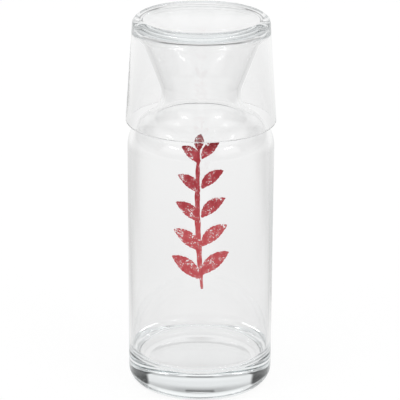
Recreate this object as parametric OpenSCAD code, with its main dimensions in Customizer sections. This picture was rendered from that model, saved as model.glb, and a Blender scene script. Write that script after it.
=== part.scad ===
// Bedside carafe of clear glass, with a tumbler turned over its neck as a lid.
// The origin is the middle of the foot, on the surface that the carafe stands on.

/* [Carafe body] */
// Outside diameter of the body
body_d = 80; // [74:1:90]
// Height at which the straight wall ends and the shoulder starts
shoulder_z = 137.4; // [90:0.1:180]
// Thickness of the blown wall, from the body up to the lip
wall_t = 2; // [1.4:0.1:2.6]

/* [Carafe base] */
// Thickness of the solid base in the middle of the floor
base_t = 16.4; // [9:0.1:24]
// Radius of the rounded corner between the foot and the wall
foot_corner_r = 7.6; // [4:0.1:10]
// Radius of the fillet between the floor and the wall inside
floor_corner_r = 6.6; // [4:0.1:12]
// Width of the flat ring that the foot stands on
foot_land_w = 3.4; // [1:0.1:10]
// Radius of the ring's inner edge, which turns up into the push-up
ring_edge_r = 1; // [0.5:0.5:6]
// Height of the push-up inside the foot's ring
push_up_h = 0.6; // [0.4:0.1:5]

/* [Carafe neck] */
// Radius of the rounded shoulder
shoulder_r = 19.5; // [14:0.5:22]
// Height from the start of the shoulder up to the waist
neck_rise = 30.1; // [26:0.1:36]
// Outside diameter of the waist, the narrowest place of the neck
waist_d = 43; // [38:0.5:46]
// Outside diameter of the lip
lip_d = 67.2; // [60:0.2:68]
// Height from the waist up to the top of the lip
funnel_h = 36; // [30:0.5:44]

/* [Tumbler] */
// Whole height of the tumbler
tumbler_h = 58; // [54:0.5:60]
// Thickness of the tumbler's wall
tumbler_wall_t = 1.8; // [1.4:0.1:2.4]
// Thickness of the tumbler's base at the edge of its floor
tumbler_base_t = 5.6; // [4.6:0.1:9]
// Radius of the rounded edge of the tumbler's base
tumbler_edge_r = 4.1; // [2.5:0.1:4.5]
// Radius of the fillet between floor and wall inside the tumbler
cup_corner_r = 5; // [4.4:0.1:8]
// How much the middle of the tumbler's floor is dished
cup_dish_h = 0.5; // [0.2:0.1:1]

/* [Fit of the tumbler] */
// How far the tumbler's rim stands out past the body's wall
rim_overhang = 0.9; // [0:0.1:3]
// Play all round between the lip and the tumbler's wall
lip_play = 1.9; // [1.5:0.1:3]
// Clearance between the lip and the inside of the tumbler that rests on it
seat_gap = 0.3; // [0.1:0.05:0.6]

/* [Hidden] */
$fn = 48;

// Facets of the full rounds at lip and rim
round_fn = 24;
// Facets of the wide, shallow arcs
shallow_fn = 900;
// Overrun of every cut and of every outline past the axis
cut_over = 3;
// Colour of the clear glass
glass_colour = [0.85, 0.91, 0.92, 0.45];

body_r = body_d / 2;
waist_r = waist_d / 2;
lip_r = lip_d / 2;

// The shoulder bulges and then folds back up in two arcs that meet where both have turned this far
fall_w = body_r - waist_r;
bend_turn = 2 * atan(fall_w / neck_rise);
fold_r = neck_rise / sin(bend_turn) - shoulder_r;
waist_z = shoulder_z + neck_rise;
shoulder_c = [body_r - shoulder_r, shoulder_z];
fold_c = [waist_r + fold_r, waist_z];

// The lip is a full round on the wall, and the funnel runs straight from it to a tangent on the fold
lip_round = wall_t / 2;
lip_top_z = waist_z + funnel_h;
lip_c = [lip_r - lip_round, lip_top_z - lip_round];
funnel_turn = tangent_turn(fold_c, fold_r + lip_round, lip_c);
funnel_run = [sin(funnel_turn), -cos(funnel_turn)];

// The foot's outer corner, the fillet round the floor, and the inner edge of the foot's ring
foot_corner_c = [body_r - foot_corner_r, foot_corner_r];
foot_ring_r = foot_corner_c[0] - foot_land_w;
floor_corner_c = [body_r - wall_t - floor_corner_r, base_t + floor_corner_r];
ring_edge_c = [foot_ring_r, ring_edge_r];

// The push-up is a shallow dome that meets the ring's rounded edge at a tangent
push_up_reach = shallow_arc_r(foot_ring_r, push_up_h);
push_up_r = push_up_reach - ring_edge_r;
push_up_c = [0, push_up_h - push_up_r];
push_up_turn = asin(foot_ring_r / push_up_reach);

// The tumbler in its own frame: mouth down, rim on the plane at zero
rim_round = tumbler_wall_t / 2;
rim_c = [body_r + rim_overhang - rim_round, rim_round];
cup_depth = tumbler_h - tumbler_base_t;
cup_corner = [lip_r + lip_play, cup_depth];
cup_lean = side_lean(cup_corner, rim_round, rim_c);
tumbler_corner = [
    cup_corner[0] + tumbler_wall_t / cos(cup_lean) - tumbler_base_t * tan(cup_lean),
    tumbler_h
];
cup_corner_c = corner_centre(cup_corner, cup_corner_r, cup_lean);
tumbler_edge_c = corner_centre(tumbler_corner, tumbler_edge_r, cup_lean);
cup_dish_r = shallow_arc_r(cup_corner_c[0], cup_dish_h);

// The round lip seats in the cup's corner fillet, which sets the height of the tumbler
seat_reach = cup_corner_r - lip_round - seat_gap;
seat_side = max(0, lip_c[0] - cup_corner_c[0]);
seat_rise = sqrt(seat_reach * seat_reach - seat_side * seat_side);
tumbler_z = lip_c[1] - seat_rise - cup_corner_c[1];

// Point at a radius and an angle
function polar(radius, turn) = [radius * cos(turn), radius * sin(turn)];

// Turn, seen from a circle's centre, of the upper left tangent point of a line from a point outside
function tangent_turn(centre, radius, point) =
    let (run = point - centre)
    atan2(run[1], run[0]) + acos(radius / norm(run));

// Lean from upright of a cup's side that runs from its inner corner to touch the rim's round inside
function side_lean(corner, round_r, centre) =
    let (run = centre - corner)
    atan2(run[1], run[0]) + acos(round_r / norm(run));

// Centre of the fillet below a level face, beside a side that leans out downwards
function corner_centre(corner, fillet, lean) =
    [corner[0] + fillet * (tan(lean) - 1 / cos(lean)), corner[1] - fillet];

// Radius of a shallow arc with this half width and this height
function shallow_arc_r(half_w, height) = (half_w * half_w + height * height) / (2 * height);

// Filled half outline of the carafe, set in from its outer face, with a rounded corner at the bottom
module carafe_outline(set_in, foot_points, corner_c, corner_r, top_points) {
    side_r = body_r - set_in;
    difference() {
        union() {
            polygon(concat(
                foot_points,
                [
                    [corner_c[0], corner_c[1] - corner_r],
                    [side_r, corner_c[1]],
                    [side_r, shoulder_z],
                    shoulder_c + polar(shoulder_r - set_in, bend_turn),
                    fold_c,
                    fold_c + polar(fold_r + set_in, funnel_turn)
                ],
                top_points
            ));
            translate(corner_c) circle(r = corner_r);
            translate(shoulder_c) circle(r = shoulder_r - set_in);
        }
        translate(fold_c) circle(r = fold_r + set_in);
    }
}

// Half section of the carafe's glass
module carafe_section() {
    lip_outside = lip_c - polar(lip_round, funnel_turn);
    lip_inside = lip_c + polar(lip_round, funnel_turn);
    past_lip = lip_inside + cut_over * funnel_run;
    push_up_end = ring_edge_c - polar(ring_edge_r, 90 - push_up_turn);
    ring_points = [[-cut_over, push_up_c[1]], push_up_c, push_up_end, [foot_ring_r, 0]];
    lip_points = [lip_outside, lip_inside, [-cut_over, lip_inside[1]]];
    hollow_points = [past_lip, [-cut_over, past_lip[1]]];
    difference() {
        union() {
            carafe_outline(0, ring_points, foot_corner_c, foot_corner_r, lip_points);
            translate(ring_edge_c) circle(r = ring_edge_r);
        }
        carafe_outline(wall_t, [[-cut_over, base_t]], floor_corner_c, floor_corner_r, hollow_points);
        translate(push_up_c) circle(r = push_up_r, $fn = shallow_fn);
    }
    translate(lip_c) circle(r = lip_round, $fn = round_fn);
}

// Filled half outline of a cup with its mouth down, with a rounded corner under its level face
module cup_outline(foot_points, corner_c, corner_r) {
    polygon(concat(
        foot_points,
        [
            corner_c + polar(corner_r, cup_lean),
            [corner_c[0], corner_c[1] + corner_r],
            [-cut_over, corner_c[1] + corner_r]
        ]
    ));
    translate(corner_c) circle(r = corner_r);
}

// Half section of the tumbler's glass, mouth down
module tumbler_section() {
    rim_outside = rim_c + polar(rim_round, cup_lean);
    rim_inside = rim_c - polar(rim_round, cup_lean);
    past_rim = rim_inside + cut_over * [sin(cup_lean), -cos(cup_lean)];
    difference() {
        cup_outline([[-cut_over, rim_inside[1]], rim_inside, rim_outside], tumbler_edge_c, tumbler_edge_r);
        cup_outline([[-cut_over, past_rim[1]], past_rim], cup_corner_c, cup_corner_r);
        intersection() {
            translate([0, cup_depth + cup_dish_h - cup_dish_r]) circle(r = cup_dish_r, $fn = shallow_fn);
            translate([-cut_over, cup_depth - cut_over]) square([cut_over + cup_corner_c[0], 2 * cut_over]);
        }
    }
    translate(rim_c) circle(r = rim_round, $fn = round_fn);
}

// Turns the half of a section that lies right of the axis into a solid
module turned(height) {
    rotate_extrude() intersection() {
        children();
        translate([0, -cut_over]) square([body_d, height + 2 * cut_over]);
    }
}

module carafe() {
    color(glass_colour) turned(lip_top_z) carafe_section();
}

module tumbler() {
    color(glass_colour) translate([0, 0, tumbler_z]) turned(tumbler_h) tumbler_section();
}

carafe();
tumbler();
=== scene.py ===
"""Bedside carafe of clear glass with a tumbler turned over its neck, on a pale studio floor."""

import logging
import math
from abc import ABC, abstractmethod
from collections.abc import Callable, Iterator
from dataclasses import dataclass, field
from enum import Enum

import bmesh
import bpy
from mathutils import Matrix, Vector


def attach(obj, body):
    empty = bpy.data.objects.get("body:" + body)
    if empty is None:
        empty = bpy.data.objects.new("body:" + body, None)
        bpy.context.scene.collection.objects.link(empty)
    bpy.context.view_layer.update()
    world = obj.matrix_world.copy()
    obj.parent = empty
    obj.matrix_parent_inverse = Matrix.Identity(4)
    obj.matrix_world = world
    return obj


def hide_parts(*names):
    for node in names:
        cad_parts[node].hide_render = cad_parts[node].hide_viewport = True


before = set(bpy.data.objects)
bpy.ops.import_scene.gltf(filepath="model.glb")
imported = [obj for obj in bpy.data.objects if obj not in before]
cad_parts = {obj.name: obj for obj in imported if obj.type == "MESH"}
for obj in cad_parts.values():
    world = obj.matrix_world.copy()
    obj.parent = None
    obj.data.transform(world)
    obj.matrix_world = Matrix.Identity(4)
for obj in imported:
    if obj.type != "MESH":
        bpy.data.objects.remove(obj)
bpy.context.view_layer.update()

LOG = logging.getLogger("carafe")
MM = 0.001
PHOTO_SIDE_PX = 400
# Light turns many times inside the thick bases before it leaves them
GLASS_BOUNCES = 40
# Least numbers of steps along the rounded stretches of a section
BEND_STEPS = 24
CORNER_STEPS = 20
ROUND_STEPS = 16
SHALLOW_STEPS = 8
# Radius within which the unevenness of the glass dies out towards the axis
AXIS_CALM = 10 * MM
# A quarter turn, in radians
QUARTER = math.pi / 2

Point = tuple[float, float]
Pair = tuple[float, float]
Colour = tuple[float, float, float]


class Body(Enum):
    """The two bodies that pieces ride on."""

    CARAFE = "carafe"
    TUMBLER = "tumbler"


class Slot(Enum):
    """Material slots of the record."""

    CARAFE_GLASS = "carafe_glass"
    TUMBLER_GLASS = "tumbler_glass"


# Section geometry


def polar(centre: Point, radius: float, turn: float) -> Point:
    """Gives the point at a radius and an angle, in radians, from a centre."""
    return centre[0] + radius * math.cos(turn), centre[1] + radius * math.sin(turn)


def shallow_arc_radius(half_width: float, height: float) -> float:
    """Gives the radius of a shallow arc with this half width and height."""
    return (half_width**2 + height**2) / (2 * height)


@dataclass
class Section:
    """Half section of a turned vessel, as a chain of points from axis to axis.

    Args:
        step: Longest distance between two points of the chain.
        side: 1 where the glass lies left of the way that the chain goes, and -1 where it lies right.
        points: Points so far, each as radius and height.
        normals: Way out of the glass at each point.
        same_share: Share of a step below which two points are one.
    """

    step: float
    side: int = 1
    points: list[Point] = field(default_factory=list)
    normals: list[Point] = field(default_factory=list)
    same_share: float = 0.001

    def put(self, point: Point, way: Point) -> None:
        """Adds a point, unless the chain is there already.

        Args:
            point: Radius and height of the point.
            way: Unit vector along the chain.
        """
        if self.points and math.dist(self.points[-1], point) < self.same_share * self.step:
            return
        self.points.append(point)
        self.normals.append((self.side * way[1], -self.side * way[0]))

    def line(self, end: Point) -> None:
        """Runs straight to a point.

        Args:
            end: Radius and height of the point.
        """
        start = self.points[-1]
        length = math.dist(start, end)
        count = math.ceil(length / self.step - self.same_share)
        for i in range(1, count + 1):
            run = (end[0] - start[0], end[1] - start[1])
            place = (start[0] + run[0] * i / count, start[1] + run[1] * i / count)
            self.put(place, (run[0] / length, run[1] / length))

    def arc(
        self, centre: Point, radius: float, start: float, end: float, finest: int = SHALLOW_STEPS
    ) -> None:
        """Follows a round stretch, after a straight run to where it starts.

        Args:
            centre: Centre of the arc.
            radius: Radius of the arc.
            start: Angle at its start, in radians.
            end: Angle at its end, in radians.
            finest: Least number of steps.
        """
        if self.points:
            self.line(polar(centre, radius, start))
        count = max(finest, math.ceil(abs(end - start) * radius / self.step))
        sense = math.copysign(1, end - start)
        for i in range(count + 1):
            turn = start + (end - start) * i / count
            self.put(polar(centre, radius, turn), (-sense * math.sin(turn), sense * math.cos(turn)))


@dataclass(frozen=True)
class Ripple:
    """Slow unevenness that forming leaves in a glass wall.

    Args:
        lobes: Waves round the axis.
        rise: Turn of the waves, in radians, for each metre of height.
        depth: Greatest distance that the wave moves the surface.
        phase: Start of the wave, in radians.
    """

    lobes: int
    rise: float
    depth: float
    phase: float

    def at(self, turn: float, height: float) -> Vector:
        """Gives the wave's distance at a place on the wall, and its slopes.

        Args:
            turn: Angle round the axis, in radians.
            height: Height above the floor.

        Returns:
            Distance out, its change for each radian, and its change for each metre of height.
        """
        wave = self.lobes * turn + self.rise * height + self.phase
        slope = self.depth * math.cos(wave)
        return Vector((self.depth * math.sin(wave), self.lobes * slope, self.rise * slope))


def turned_object(
    name: str, section: Section, around: int, shift: Callable[[int, float, float], Vector]
) -> bpy.types.Object:
    """Turns a half section round the axis into a closed mesh with exact normals.

    Args:
        name: Name of the new object.
        section: Chain that starts and ends on the axis.
        around: Number of steps round the axis.
        shift: Gives the distance out and its slopes for a point's index, its angle and its height.

    Returns:
        The new object, linked to the scene.
    """
    mesh = bmesh.new()
    rings: list[list[bmesh.types.BMVert]] = []
    normals: list[Vector] = []
    last = len(section.points) - 1
    for index, ((radius, height), (out, up)) in enumerate(zip(section.points, section.normals)):
        if index in (0, last):
            rings.append([mesh.verts.new((0, 0, height))] * around)
            normals.append(Vector((0, 0, math.copysign(1, up))))
            continue
        ring = []
        share = min(1, radius / AXIS_CALM)
        for i in range(around):
            turn = 2 * math.pi * i / around
            moved, sideways, upward = shift(index, turn, height) * share
            spot = radius + moved
            ring.append(mesh.verts.new((spot * math.cos(turn), spot * math.sin(turn), height)))
            normal = Vector((out, -out * sideways / spot, up - out * upward))
            normals.append(Matrix.Rotation(turn, 3, "Z") @ normal.normalized())
        rings.append(ring)
    for low, high in zip(rings, rings[1:]):
        for i in range(around):
            j = (i + 1) % around
            corners = [low[i], low[j], high[j], high[i]]
            unique = [v for k, v in enumerate(corners) if v not in corners[:k]]
            mesh.faces.new(unique if section.side > 0 else unique[::-1]).smooth = True
    made = linked_object(name, mesh)
    made.data.normals_split_custom_set_from_vertices(normals)
    return made


def linked_object(name: str, mesh: bmesh.types.BMesh) -> bpy.types.Object:
    """Makes a scene object from a bmesh and frees the bmesh.

    Args:
        name: Name of the object and of its mesh.
        mesh: Geometry to keep.

    Returns:
        The new object.
    """
    data = bpy.data.meshes.new(name)
    mesh.to_mesh(data)
    mesh.free()
    made = bpy.data.objects.new(name, data)
    bpy.context.scene.collection.objects.link(made)
    return made


# Node helpers


class Graph:
    """Short names for adding and joining shader nodes."""

    def __init__(self, tree: bpy.types.NodeTree) -> None:
        """Keeps the tree to build in."""
        self.tree = tree

    def node(self, kind: str, **values: object) -> bpy.types.Node:
        """Adds a node and sets its properties and unlinked inputs.

        Args:
            kind: Blender's node type.
            **values: Properties by name, or inputs by name with spaces as underscores. A group's
                node_tree comes first, since it brings the inputs.

        Returns:
            The new node.
        """
        made = self.tree.nodes.new(kind)
        for key, value in values.items():
            if hasattr(made, key):
                setattr(made, key, value)
            else:
                made.inputs[key.replace("_", " ")].default_value = value
        return made

    def join(self, start: bpy.types.NodeSocket, end: bpy.types.NodeSocket) -> None:
        """Links an output to an input."""
        self.tree.links.new(start, end)

    def axes(self, place: str = "Object") -> bpy.types.Node:
        """Adds nodes that give the X, Y and Z of a place.

        Args:
            place: Output of Blender's Texture Coordinate node.

        Returns:
            The node with the three outputs.
        """
        start = self.node("ShaderNodeTexCoord")
        made = self.node("ShaderNodeSeparateXYZ")
        self.join(start.outputs[place], made.inputs[0])
        return made

    def maths(self, operation: str, first: object, second: object = 0.0) -> bpy.types.NodeSocket:
        """Adds a Math node on sockets or numbers.

        Args:
            operation: Blender's name of the operation.
            first: Socket or number for the first input.
            second: Socket or number for the second input.

        Returns:
            The node's output.
        """
        made = self.tree.nodes.new("ShaderNodeMath")
        made.operation = operation
        for socket, value in zip(made.inputs, (first, second)):
            if isinstance(value, bpy.types.NodeSocket):
                self.join(value, socket)
            else:
                socket.default_value = value
        return made.outputs[0]

    def smooth(
        self, value: bpy.types.NodeSocket, low: float, high: float,
        out_low: float = 0.0, out_high: float = 1.0,
    ) -> bpy.types.NodeSocket:
        """Maps a value smoothly from one range to another.

        Args:
            value: Socket to map.
            low: Value that gives out_low.
            high: Value that gives out_high.
            out_low: Result at the low end.
            out_high: Result at the high end.

        Returns:
            The mapped value.
        """
        made = self.tree.nodes.new("ShaderNodeMapRange")
        made.interpolation_type = "SMOOTHSTEP"
        self.join(value, made.inputs["Value"])
        ends = {"From Min": low, "From Max": high, "To Min": out_low, "To Max": out_high}
        for name, number in ends.items():
            made.inputs[name].default_value = number
        return made.outputs["Result"]

    def blend(self, share: bpy.types.NodeSocket, first: object, second: object) -> bpy.types.NodeSocket:
        """Mixes two colours.

        Args:
            share: Share of the second colour.
            first: Socket or colour.
            second: Socket or colour.

        Returns:
            The mixed colour.
        """
        made = self.node("ShaderNodeMix", data_type="RGBA")
        self.join(share, made.inputs["Factor"])
        colours = [socket for socket in made.inputs if socket.type == "RGBA"]
        for socket, value in zip(colours, (first, second)):
            if isinstance(value, bpy.types.NodeSocket):
                self.join(value, socket)
            else:
                socket.default_value = (*value, 1)
        return next(socket for socket in made.outputs if socket.type == "RGBA")


def new_group(name: str, inputs: dict[str, float], outputs: dict[str, str]) -> bpy.types.NodeTree:
    """Makes an empty shader node group with named sockets.

    Args:
        name: Name of the group.
        inputs: Number inputs and their defaults.
        outputs: Outputs and their socket types.

    Returns:
        The group's tree.
    """
    tree = bpy.data.node_groups.new(name, "ShaderNodeTree")
    for label, value in inputs.items():
        socket = tree.interface.new_socket(label, in_out="INPUT", socket_type="NodeSocketFloat")
        socket.default_value = value
    for label, kind in outputs.items():
        tree.interface.new_socket(label, in_out="OUTPUT", socket_type=kind)
    return tree


def forming_marks() -> bpy.types.NodeTree:
    """Builds the group for the faint waves that forming leaves on a glass surface.

    Returns:
        Group with the inputs Scale, Stretch and Strength, and the output Normal.
    """
    name = "forming marks"
    if name in bpy.data.node_groups:
        return bpy.data.node_groups[name]
    tree = new_group(name, {"Scale": 30, "Stretch": 1, "Strength": 0.02}, {"Normal": "NodeSocketVector"})
    graph = Graph(tree)
    ins = graph.node("NodeGroupInput")
    outs = graph.node("NodeGroupOutput")
    apart = graph.axes()
    together = graph.node("ShaderNodeCombineXYZ")
    graph.join(apart.outputs["X"], together.inputs["X"])
    graph.join(apart.outputs["Y"], together.inputs["Y"])
    graph.join(graph.maths("MULTIPLY", apart.outputs["Z"], ins.outputs["Stretch"]), together.inputs["Z"])
    noise = graph.node("ShaderNodeTexNoise", Detail=1.5, Roughness=0.4)
    graph.join(together.outputs[0], noise.inputs["Vector"])
    graph.join(ins.outputs["Scale"], noise.inputs["Scale"])
    bump = graph.node("ShaderNodeBump", Distance=MM)
    graph.join(noise.outputs["Fac"], bump.inputs["Height"])
    graph.join(ins.outputs["Strength"], bump.inputs["Strength"])
    graph.join(bump.outputs["Normal"], outs.inputs["Normal"])
    return tree


def worn_ink() -> bpy.types.NodeTree:
    """Builds the group for ink that has rubbed away in specks and dry brush lines.

    Returns:
        Group with the inputs Scale and Wear, and the outputs Cover and Shade.
    """
    name = "worn ink"
    if name in bpy.data.node_groups:
        return bpy.data.node_groups[name]
    patch_scale_share = 0.22
    patch_middle, patch_weight = 0.5, 0.5
    shade_low, shade_high = 0.3, 0.7
    edge = 0.02
    tree = new_group(
        name, {"Scale": 900, "Wear": 0.4}, {"Cover": "NodeSocketFloat", "Shade": "NodeSocketFloat"}
    )
    graph = Graph(tree)
    ins = graph.node("NodeGroupInput")
    outs = graph.node("NodeGroupOutput")
    place = graph.node("ShaderNodeTexCoord")
    specks = graph.node("ShaderNodeTexNoise", Detail=3.0, Roughness=0.65)
    graph.join(place.outputs["Object"], specks.inputs["Vector"])
    graph.join(ins.outputs["Scale"], specks.inputs["Scale"])
    patches = graph.node("ShaderNodeTexNoise", Detail=1.0)
    graph.join(place.outputs["Object"], patches.inputs["Vector"])
    graph.join(graph.maths("MULTIPLY", ins.outputs["Scale"], patch_scale_share), patches.inputs["Scale"])
    patchy = graph.maths("SUBTRACT", patches.outputs["Fac"], patch_middle)
    patchy = graph.maths("MULTIPLY", patchy, patch_weight)
    level = graph.maths("ADD", specks.outputs["Fac"], patchy)
    cover = graph.maths("SUBTRACT", level, ins.outputs["Wear"])
    graph.join(graph.smooth(cover, -edge, edge), outs.inputs["Cover"])
    graph.join(graph.smooth(patches.outputs["Fac"], shade_low, shade_high), outs.inputs["Shade"])
    return tree


# Finishes


@dataclass(frozen=True)
class GlassFinish:
    """Clear polished soda glass.

    Args:
        name: Name of the material.
        ior: Index of refraction.
        tint: Colour that light keeps on its way through.
        density: How strongly the tint takes hold, for each metre.
        mark_scale: Scale of the forming marks.
        mark_stretch: How much the marks shorten along the axis.
        mark_strength: Strength of the forming marks.
    """

    name: str
    ior: float = 1.51
    tint: Colour = (0.82, 0.91, 0.93)
    density: float = 4.0
    mark_scale: float = 35.0
    mark_stretch: float = 0.6
    mark_strength: float = 0.05

    def material(self) -> bpy.types.Material:
        """Builds the material.

        Returns:
            Glass with forming marks and a faint tint that grows with its thickness.
        """
        made = bpy.data.materials.new(self.name)
        made.use_nodes = True
        graph = Graph(made.node_tree)
        made.node_tree.nodes.clear()
        out = graph.node("ShaderNodeOutputMaterial")
        shader = graph.node("ShaderNodeBsdfPrincipled")
        shader.inputs["Base Color"].default_value = (1, 1, 1, 1)
        shader.inputs["Roughness"].default_value = 0.0
        shader.inputs["IOR"].default_value = self.ior
        shader.inputs["Transmission Weight"].default_value = 1.0
        marks = graph.node(
            "ShaderNodeGroup", node_tree=forming_marks(),
            Scale=self.mark_scale, Stretch=self.mark_stretch, Strength=self.mark_strength,
        )
        graph.join(marks.outputs["Normal"], shader.inputs["Normal"])
        graph.join(shader.outputs[0], out.inputs["Surface"])
        depth = graph.node("ShaderNodeVolumeAbsorption", Density=self.density)
        depth.inputs["Color"].default_value = (*self.tint, 1)
        graph.join(depth.outputs[0], out.inputs["Volume"])
        return made


@dataclass(frozen=True)
class InkFinish:
    """Enamel ink brushed onto glass and worn in use.

    Args:
        name: Name of the material.
        fresh: Colour where the ink is thick.
        thin: Colour where it is thin.
        fresh_high: Colour of thick ink above the change.
        thin_high: Colour of thin ink above the change.
        change: Heights between which the colour changes.
        speck_scale: Scale of the specks.
        wear: Share of the ink that has gone, as a level from 0 to 1.
        roughness: Roughness of the fired ink.
    """

    name: str
    fresh: Colour
    thin: Colour
    fresh_high: Colour
    thin_high: Colour
    change: Pair = (100 * MM, 125 * MM)
    speck_scale: float = 1250.0
    wear: float = 0.37
    roughness: float = 0.45

    def material(self) -> bpy.types.Material:
        """Builds the material.

        Returns:
            Ink with a worn cover, in two shades that deepen where the ink is high on the wall.
        """
        made = bpy.data.materials.new(self.name)
        made.use_nodes = True
        graph = Graph(made.node_tree)
        shader = made.node_tree.nodes["Principled BSDF"]
        shader.inputs["Roughness"].default_value = self.roughness
        worn = graph.node(
            "ShaderNodeGroup", node_tree=worn_ink(), Scale=self.speck_scale, Wear=self.wear
        )
        apart = graph.axes()
        low = graph.blend(worn.outputs["Shade"], self.thin, self.fresh)
        high = graph.blend(worn.outputs["Shade"], self.thin_high, self.fresh_high)
        colour = graph.blend(graph.smooth(apart.outputs["Z"], *self.change), low, high)
        graph.join(colour, shader.inputs["Base Color"])
        graph.join(worn.outputs["Cover"], shader.inputs["Alpha"])
        return made


# The vessels


@dataclass(kw_only=True)
class Vessel(ABC):
    """A vessel turned from one section of glass, with the unevenness that forming leaves.

    Args:
        step: Longest distance between two points of the section.
        around: Number of steps round the axis.
        finish: The glass.
        outside_ripples: Unevenness of the outside.
        inside_ripples: Unevenness of the inside.
        calm_run: Height over which the unevenness dies out towards the fire-polished edge.
        outside_count: Number of the section's points that lie outside, which section() counts.
    """

    step: float
    around: int = 256
    finish: GlassFinish
    outside_ripples: tuple[Ripple, ...]
    inside_ripples: tuple[Ripple, ...]
    calm_run: float = 12 * MM
    outside_count: int = field(init=False, default=0)

    @abstractmethod
    def section(self) -> Section:
        """Follows the glass from axis to axis."""

    @abstractmethod
    def edge_gap(self, height: float) -> float:
        """Gives the distance from a height to the fire-polished edge."""

    def shift(self, index: int, turn: float, height: float) -> Vector:
        """Gives the unevenness of the wall, which is greater inside, where no mould touched it.

        Args:
            index: Index of the section's point.
            turn: Angle round the axis.
            height: Height of the point.

        Returns:
            Distance out and its slopes.
        """
        waves = self.outside_ripples if index < self.outside_count else self.inside_ripples
        calm = max(0.0, min(1.0, self.edge_gap(height) / self.calm_run))
        return sum((wave.at(turn, height) for wave in waves), Vector((0, 0, 0))) * calm

    def glass(self, name: str) -> bpy.types.Object:
        """Turns the section into a piece of glass.

        Args:
            name: Name of the piece.

        Returns:
            The piece with its finish.
        """
        made = turned_object(name, self.section(), self.around, self.shift)
        made.data.materials.append(self.finish.material())
        return made


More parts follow.
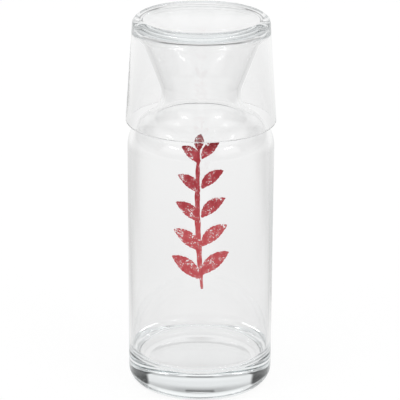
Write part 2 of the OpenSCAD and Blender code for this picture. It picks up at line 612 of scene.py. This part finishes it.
@dataclass(kw_only=True)
class Carafe(Vessel):
    """The carafe: a thick base, a straight body, a round shoulder, a waist and a funnel neck.

    Args:
        body_r: Outside radius of the body.
        shoulder_z: Height at which the straight wall ends.
        wall_t: Thickness of the wall.
        base_t: Thickness of the base in the middle of the floor.
        foot_corner_r: Radius of the corner between foot and wall.
        floor_corner_r: Radius of the fillet between floor and wall inside.
        foot_ring_r: Inside radius of the ring that the foot stands on.
        ring_edge_r: Radius of the ring's inner edge.
        push_up_h: Height of the push-up inside the ring.
        shoulder_r: Radius of the shoulder.
        neck_rise: Height from the start of the shoulder to the waist.
        waist_r: Outside radius of the waist.
        lip_r: Outside radius of the lip.
        funnel_h: Height from the waist to the top of the lip.
    """

    body_r: float = 40 * MM
    shoulder_z: float = 137.4 * MM
    wall_t: float = 2 * MM
    base_t: float = 16.4 * MM
    foot_corner_r: float = 7.6 * MM
    floor_corner_r: float = 6.6 * MM
    foot_ring_r: float = 29 * MM
    ring_edge_r: float = 1 * MM
    push_up_h: float = 0.6 * MM
    shoulder_r: float = 19.5 * MM
    neck_rise: float = 30.1 * MM
    waist_r: float = 21.5 * MM
    lip_r: float = 33.6 * MM
    funnel_h: float = 36 * MM
    step: float = 1.7 * MM
    finish: GlassFinish = GlassFinish("carafe_glass")
    outside_ripples: tuple[Ripple, ...] = (
        Ripple(2, 9, 0.03 * MM, 0.4),
        Ripple(5, 40, 0.008 * MM, 1.1),
    )
    inside_ripples: tuple[Ripple, ...] = (
        Ripple(2, 14, 0.08 * MM, 2.0),
        Ripple(3, 35, 0.05 * MM, 0.3),
        Ripple(7, 70, 0.02 * MM, 4.0),
    )

    def __post_init__(self) -> None:
        """Works out the bends of the shoulder and the neck."""
        self.turn = 2 * math.atan((self.body_r - self.waist_r) / self.neck_rise)
        self.fold_r = self.neck_rise / math.sin(self.turn) - self.shoulder_r
        self.shoulder_c = (self.body_r - self.shoulder_r, self.shoulder_z)
        self.fold_c = (self.waist_r + self.fold_r, self.shoulder_z + self.neck_rise)
        self.lip_round = self.wall_t / 2
        self.lip_top = self.fold_c[1] + self.funnel_h
        self.lip_c = (self.lip_r - self.lip_round, self.lip_top - self.lip_round)
        run = (self.lip_c[0] - self.fold_c[0], self.lip_c[1] - self.fold_c[1])
        self.funnel_turn = math.atan2(run[1], run[0]) + math.acos(
            (self.fold_r + self.lip_round) / math.hypot(*run)
        )

    def section(self) -> Section:
        """Follows the glass from the middle of the foot, over the lip, to the middle of the floor.

        Returns:
            The chain.
        """
        chain = Section(self.step)
        corner_c = (self.body_r - self.foot_corner_r, self.foot_corner_r)
        reach = shallow_arc_radius(self.foot_ring_r, self.push_up_h)
        push_turn = math.asin(self.foot_ring_r / reach)
        push_r = reach - self.ring_edge_r
        chain.arc((0, self.push_up_h - push_r), push_r, QUARTER, QUARTER - push_turn)
        ring_c = (self.foot_ring_r, self.ring_edge_r)
        chain.arc(ring_c, self.ring_edge_r, -QUARTER - push_turn, -QUARTER)
        chain.arc(corner_c, self.foot_corner_r, -QUARTER, 0, CORNER_STEPS)
        chain.arc(self.shoulder_c, self.shoulder_r, 0, self.turn, BEND_STEPS)
        fold_start = math.pi + self.turn
        chain.arc(self.fold_c, self.fold_r, fold_start, self.funnel_turn, BEND_STEPS)
        lip_out = self.funnel_turn - math.pi
        chain.arc(self.lip_c, self.lip_round, lip_out, lip_out + math.pi, ROUND_STEPS)
        self.outside_count = len(chain.points) - ROUND_STEPS // 2
        chain.arc(self.fold_c, self.fold_r + self.wall_t, self.funnel_turn, fold_start, BEND_STEPS)
        chain.arc(self.shoulder_c, self.shoulder_r - self.wall_t, self.turn, 0, BEND_STEPS)
        floor_c = (self.body_r - self.wall_t - self.floor_corner_r, self.base_t + self.floor_corner_r)
        chain.arc(floor_c, self.floor_corner_r, 0, -QUARTER, ROUND_STEPS)
        chain.line((0, self.base_t))
        return chain

    def edge_gap(self, height: float) -> float:
        """Gives the distance up to the top of the lip."""
        return self.lip_top - height

    def build(self) -> bpy.types.Object:
        """Builds the glass in place of the CAD node.

        Returns:
            The dressed piece.
        """
        made = self.glass("carafe_vessel")
        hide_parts(Body.CARAFE.value)
        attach(made, Body.CARAFE.value)
        return made

    def wall_point(self, across: float, along: float, lift: float) -> Vector:
        """Gives a point on the outer wall, at the front, where the print lies.

        Args:
            across: Distance round the wall from the middle of the front.
            along: Length up the wall from the foot, which follows the shoulder past its start.
            lift: Distance off the glass.

        Returns:
            The point in space.
        """
        radius, height = self.body_r + lift, along
        if along > self.shoulder_z:
            bend = (along - self.shoulder_z) / self.shoulder_r
            radius, height = polar(self.shoulder_c, self.shoulder_r + lift, bend)
        turn = across / self.body_r - QUARTER
        return Vector((radius * math.cos(turn), radius * math.sin(turn), height))


@dataclass(kw_only=True)
class Tumbler(Vessel):
    """The tumbler, mouth down: a thick base with a round edge, and a wall that widens to the rim.

    Args:
        lip_r: Outside radius of the carafe's lip.
        lip_c: Centre of the lip's round.
        lip_round: Radius of the lip's round.
        body_r: Outside radius of the carafe's body.
        height: Whole height.
        wall_t: Thickness of the wall.
        base_t: Thickness of the base at the edge of the floor.
        edge_r: Radius of the base's edge.
        corner_r: Radius of the fillet between floor and wall inside.
        dish_h: How much the middle of the floor is dished.
        rim_overhang: How far the rim stands out past the carafe's wall.
        lip_play: Play all round between the lip and the wall.
        seat_gap: Clearance between the lip and the fillet that rests on it.
    """

    lip_r: float
    lip_c: Point
    lip_round: float
    body_r: float
    height: float = 58 * MM
    wall_t: float = 1.8 * MM
    base_t: float = 5.6 * MM
    edge_r: float = 4.1 * MM
    corner_r: float = 5 * MM
    dish_h: float = 0.5 * MM
    rim_overhang: float = 0.9 * MM
    lip_play: float = 1.9 * MM
    seat_gap: float = 0.3 * MM
    step: float = 1.0 * MM
    finish: GlassFinish = GlassFinish("tumbler_glass", mark_strength=0.015)
    outside_ripples: tuple[Ripple, ...] = (
        Ripple(2, 20, 0.02 * MM, 1.4),
        Ripple(4, 60, 0.008 * MM, 0.1),
    )
    inside_ripples: tuple[Ripple, ...] = (
        Ripple(2, 30, 0.05 * MM, 0.9),
        Ripple(5, 80, 0.02 * MM, 2.2),
    )

    def __post_init__(self) -> None:
        """Works out the lean of the wall, the fillets and the height that it rests at."""
        rim_round = self.wall_t / 2
        self.rim_c = (self.body_r + self.rim_overhang - rim_round, rim_round)
        depth = self.height - self.base_t
        cup = (self.lip_r + self.lip_play, depth)
        run = (self.rim_c[0] - cup[0], self.rim_c[1] - cup[1])
        self.lean = math.atan2(run[1], run[0]) + math.acos(rim_round / math.hypot(*run))
        outer = (
            cup[0] + self.wall_t / math.cos(self.lean) - self.base_t * math.tan(self.lean),
            self.height,
        )
        self.cup_c = self.fillet_centre(cup, self.corner_r)
        self.edge_c = self.fillet_centre(outer, self.edge_r)
        reach = self.corner_r - self.lip_round - self.seat_gap
        side = max(0.0, self.lip_c[0] - self.cup_c[0])
        self.rest_z = self.lip_c[1] - math.sqrt(reach**2 - side**2) - self.cup_c[1]

    def fillet_centre(self, corner: Point, fillet: float) -> Point:
        """Gives the centre of a fillet under a level face, beside the leaning wall.

        Args:
            corner: Sharp corner that the fillet rounds.
            fillet: Radius of the fillet.

        Returns:
            Radius and height of the centre.
        """
        side = fillet * (math.tan(self.lean) - 1 / math.cos(self.lean))
        return corner[0] + side, corner[1] - fillet

    def section(self) -> Section:
        """Follows the glass from the middle of the base, round the rim, to the middle of the floor.

        Returns:
            The chain, at the height that the tumbler rests at.
        """
        chain = Section(self.step, side=-1)
        chain.put((0, self.height), (1, 0))
        chain.arc(self.edge_c, self.edge_r, QUARTER, self.lean, ROUND_STEPS)
        chain.arc(self.rim_c, self.wall_t / 2, self.lean, self.lean - math.pi, ROUND_STEPS)
        self.outside_count = len(chain.points) - ROUND_STEPS // 2
        chain.arc(self.cup_c, self.corner_r, self.lean, QUARTER, CORNER_STEPS)
        depth = self.cup_c[1] + self.corner_r
        dish_r = shallow_arc_radius(self.cup_c[0], self.dish_h)
        dish_turn = math.asin(self.cup_c[0] / dish_r)
        chain.arc((0, depth + self.dish_h - dish_r), dish_r, QUARTER - dish_turn, QUARTER)
        chain.points = [(radius, height + self.rest_z) for radius, height in chain.points]
        return chain

    def edge_gap(self, height: float) -> float:
        """Gives the distance down to the rim's lowest point."""
        return height - self.rest_z

    def build(self) -> bpy.types.Object:
        """Builds the glass in place of the CAD node.

        Returns:
            The dressed piece.
        """
        made = self.glass("tumbler_vessel")
        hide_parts(Body.TUMBLER.value)
        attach(made, Body.TUMBLER.value)
        return made


# The print


@dataclass(frozen=True)
class Stroke:
    """One brush stroke, as a ribbon along a bent path.

    Args:
        start: Where it starts, across and along the wall.
        end: Where it ends.
        bow: Distance by which its middle bends to the left of the way it goes.
        width: Width at its widest place.
        belly: Share of the way at which it is widest.
        tail: Share of the width that is left at the ends.
        fullness: Power of the swell of its sides, lower where they are fuller.
    """

    start: Point
    end: Point
    bow: float
    width: float
    belly: float
    tail: float
    fullness: float = 0.8

    def path(self, share: float) -> tuple[Point, Point]:
        """Gives a place on the stroke's middle line and the way it goes there.

        Args:
            share: Share of the way from start to end.

        Returns:
            The place and the unit vector along the line.
        """
        run = (self.end[0] - self.start[0], self.end[1] - self.start[1])
        length = math.hypot(*run)
        left = (-run[1] / length, run[0] / length)
        bend = 4 * self.bow * share * (1 - share)
        slope = 4 * self.bow * (1 - 2 * share)
        place = (
            self.start[0] + run[0] * share + left[0] * bend,
            self.start[1] + run[1] * share + left[1] * bend,
        )
        way = (run[0] + left[0] * slope, run[1] + left[1] * slope)
        size = math.hypot(*way)
        return place, (way[0] / size, way[1] / size)

    def half_width(self, share: float) -> float:
        """Gives half the stroke's width at a share of the way."""
        side = share / self.belly if share < self.belly else (1 - share) / (1 - self.belly)
        full = math.sin(side * QUARTER) ** self.fullness
        return self.width / 2 * (self.tail + (1 - self.tail) * full)


@dataclass
class BrushedSprig:
    """A leafy sprig brushed in red up the front of the body.

    Args:
        carafe: The carafe that carries it.
        foot_along: Height of its foot.
        head_along: Length up the wall to its head.
        lift: Distance off the glass.
        leaf_length: Length of the lowest leaves.
        leaf_width: Width of the lowest leaves.
        leaf_pairs: Number of pairs.
        first_share: Share of a pair's spacing below the first pair.
        leafy_share: Share of the height that the pairs take up.
        shrink_share: Share by which a leaf at the head would be smaller.
        reach_shares: How far a leaf reaches out and up, as shares of its length.
        root_out: Distance from the middle at which a leaf starts.
        stagger: How much higher the right leaf of a pair stands.
        leaf_shares: Belly and tail of a leaf.
        stem_width: Width of the stem.
        stem_lean: Distance by which the stem leans at its foot and its head.
        stem_stop: Distance below the head at which the stem stops.
        stem_shares: Belly and tail of the stem.
        bow: Bend of the stem and the leaves.
        tip_length: Length of the leaf at the head.
        tip_width_share: Its width, as a share of the lowest leaves'.
        tip_bow: Its bend.
        tip_shares: Its belly and tail.
        ragged: Greatest raggedness of the edges.
        ragged_waves: Waves of the edges, each as its radians along a stroke, from stroke to stroke
            and from the middle of a stroke to its edge.
        lengthwise: Steps along a stroke.
        crosswise: Steps across it.
        finish: The ink.
    """

    carafe: Carafe
    foot_along: float = 69 * MM
    head_along: float = 157 * MM
    lift: float = 0.04 * MM
    leaf_length: float = 20 * MM
    leaf_width: float = 8.4 * MM
    leaf_pairs: int = 5
    first_share: float = 0.35
    leafy_share: float = 0.93
    shrink_share: float = 0.35
    reach_shares: Pair = (0.80, 0.62)
    root_out: float = 0.6 * MM
    stagger: float = 2.5 * MM
    leaf_shares: Pair = (0.5, 0.05)
    stem_width: float = 3.0 * MM
    stem_lean: float = 1 * MM
    stem_stop: float = 6 * MM
    stem_shares: Pair = (0.3, 0.4)
    bow: float = 1.6 * MM
    tip_length: float = 10 * MM
    tip_width_share: float = 0.7
    tip_bow: float = 0.6 * MM
    tip_shares: Pair = (0.55, 0.05)
    ragged: float = 0.22 * MM
    ragged_waves: tuple[tuple[float, float, float], ...] = ((37, 5, 9), (71, 3, 0))
    lengthwise: int = 40
    crosswise: int = 6
    finish: InkFinish = InkFinish(
        "red_enamel", (0.73, 0.09, 0.105), (0.80, 0.17, 0.18), (0.50, 0.035, 0.05), (0.64, 0.08, 0.10)
    )

    def strokes(self) -> Iterator[Stroke]:
        """Lays out the stem and its leaves.

        Returns:
            The strokes from the foot up.
        """
        rise = self.head_along - self.foot_along
        stem_foot = (self.stem_lean, self.foot_along)
        stem_head = (-self.stem_lean, self.head_along - self.stem_stop)
        yield Stroke(stem_foot, stem_head, self.bow, self.stem_width, *self.stem_shares)
        for i in range(self.leaf_pairs):
            share = (i + self.first_share) / self.leaf_pairs
            along = self.foot_along + rise * share * self.leafy_share
            size = 1 - self.shrink_share * share
            for side in (-1, 1):
                root = along + (self.stagger if side > 0 else 0)
                out = side * self.leaf_length * size * self.reach_shares[0]
                up = self.leaf_length * size * self.reach_shares[1]
                yield Stroke(
                    (side * self.root_out, root), (out, root + up), side * self.bow,
                    self.leaf_width * size, *self.leaf_shares,
                )
        tip_root = (-self.stem_lean, self.head_along - self.tip_length)
        tip_width = self.leaf_width * self.tip_width_share
        yield Stroke(tip_root, (0, self.head_along), self.tip_bow, tip_width, *self.tip_shares)

    def ribbon(self, mesh: bmesh.types.BMesh, stroke: Stroke, number: int) -> None:
        """Adds one stroke to the mesh, with a ragged edge.

        Args:
            mesh: Mesh to add to.
            stroke: The stroke.
            number: The stroke's number, which varies its edge.
        """
        rows = []
        for i in range(self.lengthwise + 1):
            share = i / self.lengthwise
            place, way = stroke.path(share)
            half = stroke.half_width(share)
            row = []
            for j in range(self.crosswise + 1):
                side = 2 * j / self.crosswise - 1
                wave = sum(math.sin(a * share + b * number + c * side) for a, b, c in self.ragged_waves)
                at_edge = j in (0, self.crosswise)
                out = side * (half + self.ragged / len(self.ragged_waves) * wave * at_edge)
                across = place[0] - way[1] * out
                along = place[1] + way[0] * out
                row.append(mesh.verts.new(self.carafe.wall_point(across, along, self.lift)))
            rows.append(row)
        for low, high in zip(rows, rows[1:]):
            for j in range(self.crosswise):
                mesh.faces.new((low[j], low[j + 1], high[j + 1], high[j])).smooth = True

    def build(self) -> bpy.types.Object:
        """Builds the print as one thin film.

        Returns:
            The dressed piece.
        """
        mesh = bmesh.new()
        for number, stroke in enumerate(self.strokes()):
            self.ribbon(mesh, stroke, number)
        made = linked_object("red_sprig_print", mesh)
        made.data.materials.append(self.finish.material())
        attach(made, Body.CARAFE.value)
        return made


# The studio


@dataclass(frozen=True)
class Card:
    """A bright or dark panel of the studio, placed by direction, the same on the left and the right.

    Args:
        turn: Angle of its middle from the backdrop's middle, in degrees.
        half_turn: Half its width, in degrees.
        low: Height of its lower edge, in degrees.
        high: Height of its upper edge, in degrees.
        level: Brightness, where 1 is white.
        blur: Width of its soft edge, in degrees.
    """

    turn: float
    half_turn: float
    low: float
    high: float
    level: float
    blur: float


@dataclass(frozen=True)
class SoftBox:
    """A pair of small soft boxes, one on each side of the object.

    Args:
        name: Name of the pair.
        turn: Angle from the backdrop's middle, in degrees.
        rise: Height, in degrees.
        size: Width and height.
        power: Power of each box.
    """

    name: str
    turn: float
    rise: float
    size: Pair
    power: float


@dataclass
class Studio:
    """A white table whose glow has painted shade near and beside the object, a bright backdrop between
    dark flags, soft sides and small soft boxes.

    Args:
        floor_side: Side of the floor.
        floor_glow: Share of the floor that shows its own level instead of the light on it.
        floor_white: Level that the camera sees.
        painted_near_level: Level of the painted shade under the object, as the glass sees it.
        painted_far_level: Level far behind the object, where the painted falloff ends, as the glass sees
            it.
        near_y: Distance behind the object up to which the level is the near one.
        far_y: Distance behind the object from which the level is the far one.
        painted_side_shadow: Depth of the object's shadow painted on the floor beside it, as the glass
            sees it.
        painted_shadow_x: Distances to the side between which the painted shadow sets in.
        painted_shadow_end_y: Distances behind the object between which the painted shadow ends.
        floor_colour: Colour of the floor in the lamps' light.
        surround: Level of the room where no card stands.
        box_distance: Distance of the soft boxes from the point that they face.
        box_aim: Height of that point.
        boxes: The pairs of soft boxes.
        cards: The cards, each over those before it.
    """

    floor_side: float = 60.0
    floor_glow: float = 0.85
    floor_white: float = 1.08
    painted_near_level: float = 0.91
    painted_far_level: float = 0.99
    near_y: float = 0.03
    far_y: float = 0.5
    painted_side_shadow: float = 0.22
    painted_shadow_x: Pair = (0.055, 0.115)
    painted_shadow_end_y: Pair = (0.25, 0.7)
    floor_colour: float = 0.85
    surround: float = 0.544
    box_distance: float = 1.5
    box_aim: float = 150 * MM
    boxes: tuple[SoftBox, ...] = (
        SoftBox("side_box", 88, 57, (0.30, 0.10), 0.25),
        SoftBox("front_box", 129, 36, (0.32, 0.09), 0.95),
    )
    cards: tuple[Card, ...] = (
        Card(180, 62, -90, 42, 0.512, 16),
        Card(180, 66, -90, 23, 0.384, 12),
        Card(105, 47, 19, 76, 1.08, 16),
        Card(85, 26, 14, 42, 0.08, 10),
        Card(0, 16, -90, 90, 0.464, 8),
        Card(0, 37, -90, 26.5, 0.84, 3),
        Card(0, 27, 11, 22, 1.0, 4),
        Card(0, 8.5, 28.2, 31.8, 0.04, 2),
        Card(0, 16, 34, 48, 1.08, 5),
        Card(56.5, 18.5, 21.5, 39.5, 0.0, 5),
        Card(21.5, 24, 52, 69, 0.16, 10),
        Card(90, 95, -90, 3.5, 0.9, 3),
    )

    def floor(self) -> bpy.types.Object:
        """Builds the floor, which shows white and keeps the object's shadow; as the glass sees it, its
        glow carries painted shade under the object and a painted shadow beside it.

        Returns:
            The floor.
        """
        mesh = bmesh.new()
        bmesh.ops.create_grid(mesh, x_segments=1, y_segments=1, size=self.floor_side / 2)
        made = linked_object("floor", mesh)
        material = bpy.data.materials.new("white_floor")
        material.use_nodes = True
        graph = Graph(material.node_tree)
        material.node_tree.nodes.clear()
        out = graph.node("ShaderNodeOutputMaterial")
        matt = graph.node("ShaderNodeBsdfDiffuse")
        matt.inputs["Color"].default_value = (self.floor_colour,) * 3 + (1,)
        glow = graph.node("ShaderNodeEmission")
        light = graph.node("ShaderNodeLightPath")
        apart = graph.axes()
        # Painted light falloff: the glow is darker under the object and rises to near white far behind it
        level = graph.smooth(apart.outputs["Y"], self.near_y, self.far_y, self.painted_near_level, self.painted_far_level)
        # Painted shadow: the glow is darker beside the object and fades out far behind it
        aside = graph.maths("ABSOLUTE", apart.outputs["X"])
        shade = graph.smooth(aside, *self.painted_shadow_x, 0, self.painted_side_shadow)
        shade = graph.maths("MULTIPLY", shade, graph.smooth(apart.outputs["Y"], *self.painted_shadow_end_y, 1, 0))
        level = graph.maths("SUBTRACT", level, shade)
        white = graph.maths("MULTIPLY", light.outputs["Is Camera Ray"], self.floor_white)
        graph.join(graph.maths("MAXIMUM", level, white), glow.inputs["Strength"])
        mix = graph.node("ShaderNodeMixShader")
        seen = graph.maths("MAXIMUM", light.outputs["Is Camera Ray"], light.outputs["Is Glossy Ray"])
        seen = graph.maths("MAXIMUM", seen, light.outputs["Is Transmission Ray"])
        graph.join(graph.maths("MULTIPLY", seen, self.floor_glow), mix.inputs[0])
        graph.join(matt.outputs[0], mix.inputs[1])
        graph.join(glow.outputs[0], mix.inputs[2])
        graph.join(mix.outputs[0], out.inputs["Surface"])
        made.data.materials.append(material)
        return made

    @staticmethod
    def card_mask(
        graph: Graph, away: bpy.types.NodeSocket, rise: bpy.types.NodeSocket, card: Card
    ) -> bpy.types.NodeSocket:
        """Gives 1 on a card and 0 off it.

        Args:
            graph: Where the nodes go.
            away: Angle from the backdrop's middle, in degrees.
            rise: Height, in degrees.
            card: The card.

        Returns:
            The mask.
        """
        half = card.blur / 2
        off = graph.maths("ABSOLUTE", graph.maths("SUBTRACT", away, card.turn))
        mask = graph.smooth(off, card.half_turn - half, card.half_turn + half, 1, 0)
        mask = graph.maths("MULTIPLY", mask, graph.smooth(rise, card.low - half, card.low + half))
        return graph.maths("MULTIPLY", mask, graph.smooth(rise, card.high - half, card.high + half, 1, 0))

    def world(self) -> None:
        """Builds the world: white to the camera, and the studio's cards to the glass."""
        world = bpy.data.worlds.new("studio")
        bpy.context.scene.world = world
        world.use_nodes = True
        graph = Graph(world.node_tree)
        world.node_tree.nodes.clear()
        out = graph.node("ShaderNodeOutputWorld")
        apart = graph.axes("Generated")
        degrees = 180 / math.pi
        rise = graph.maths("MULTIPLY", graph.maths("ARCSINE", apart.outputs["Z"]), degrees)
        turn = graph.maths("ARCTAN2", apart.outputs["X"], apart.outputs["Y"])
        away = graph.maths("MULTIPLY", graph.maths("ABSOLUTE", turn), degrees)
        level: bpy.types.NodeSocket | float = self.surround
        for card in self.cards:
            mask = self.card_mask(graph, away, rise, card)
            step = graph.maths("SUBTRACT", card.level, level)
            level = graph.maths("ADD", level, graph.maths("MULTIPLY", mask, step))
        light = graph.node("ShaderNodeLightPath")
        white = graph.maths("MAXIMUM", level, light.outputs["Is Camera Ray"])
        shown = graph.node("ShaderNodeBackground")
        shown.inputs["Color"].default_value = (1, 1, 1, 1)
        graph.join(white, shown.inputs["Strength"])
        graph.join(shown.outputs[0], out.inputs["Surface"])

    def soft_box(self, box: SoftBox, side: int) -> None:
        """Adds a soft box that faces the object.

        Args:
            box: The pair that it belongs to.
            side: 1 for the right box and -1 for the left one.
        """
        name = f"{box.name}_{side}"
        data = bpy.data.lights.new(name, "AREA")
        data.shape = "RECTANGLE"
        data.size, data.size_y = box.size
        data.energy = box.power
        lamp = bpy.data.objects.new(name, data)
        bpy.context.scene.collection.objects.link(lamp)
        rise, turn = math.radians(box.rise), math.radians(side * box.turn)
        way = Vector((math.cos(rise) * math.sin(turn), math.cos(rise) * math.cos(turn), math.sin(rise)))
        lamp.location = Vector((0, 0, self.box_aim)) + way * self.box_distance
        lamp.rotation_mode = "QUATERNION"
        lamp.rotation_quaternion = way.to_track_quat("Z", "Y")

    def build(self) -> None:
        """Builds the floor, the world and the lamps."""
        self.floor()
        self.world()
        for box in self.boxes:
            self.soft_box(box, -1)
            self.soft_box(box, 1)


@dataclass
class PhotoCamera:
    """The camera of the photograph.

    Args:
        distance: Distance from the point that it looks at.
        elevation: Angle down to that point, in degrees.
        focal_px: Focal length, in pixels of the photograph.
        aim_z: Height of that point on the axis.
        axis_offset_px: How far right of the middle the axis stands, in pixels.
        roll: Turn of the picture, in degrees.
        sensor: Width of the sensor, in millimetres.
        clip: Nearest and farthest distance that it sees.
    """

    distance: float = 1.171
    elevation: float = 19.98
    focal_px: float = 2126.4
    aim_z: float = 105.39 * MM
    axis_offset_px: float = 0.6
    roll: float = 0.26
    sensor: float = 36.0
    clip: Pair = (0.05, 200.0)

    def build(self) -> bpy.types.Object:
        """Places the camera.

        Returns:
            The scene's camera.
        """
        data = bpy.data.cameras.new("photo_camera")
        data.sensor_width = self.sensor
        data.lens = self.focal_px / PHOTO_SIDE_PX * self.sensor
        data.clip_start, data.clip_end = self.clip
        camera = bpy.data.objects.new("photo_camera", data)
        bpy.context.scene.collection.objects.link(camera)
        tilt = math.radians(self.elevation)
        back = Vector((0, -math.cos(tilt), math.sin(tilt)))
        side = -self.axis_offset_px / self.focal_px * self.distance
        camera.location = Vector((side, 0, self.aim_z)) + back * self.distance
        turn = back.to_track_quat("Z", "Y").to_matrix() @ Matrix.Rotation(math.radians(self.roll), 3, "Z")
        camera.rotation_euler = turn.to_euler()
        bpy.context.scene.camera = camera
        return camera


def main() -> None:
    """Builds the object and the studio, and reports each piece."""
    logging.basicConfig(level=logging.INFO, format="%(message)s")
    scene = bpy.context.scene
    scene.view_settings.view_transform = "Standard"
    scene.cycles.max_bounces = GLASS_BOUNCES
    scene.cycles.glossy_bounces = GLASS_BOUNCES
    scene.cycles.transmission_bounces = GLASS_BOUNCES
    carafe = Carafe()
    tumbler = Tumbler(
        lip_r=carafe.lip_r, lip_c=carafe.lip_c, lip_round=carafe.lip_round, body_r=carafe.body_r
    )
    for piece in (carafe.build(), tumbler.build(), BrushedSprig(carafe).build()):
        LOG.info("%s: %d faces", piece.name, len(piece.data.polygons))
    Studio().build()
    PhotoCamera().build()


if __name__ == "__main__":
    main()
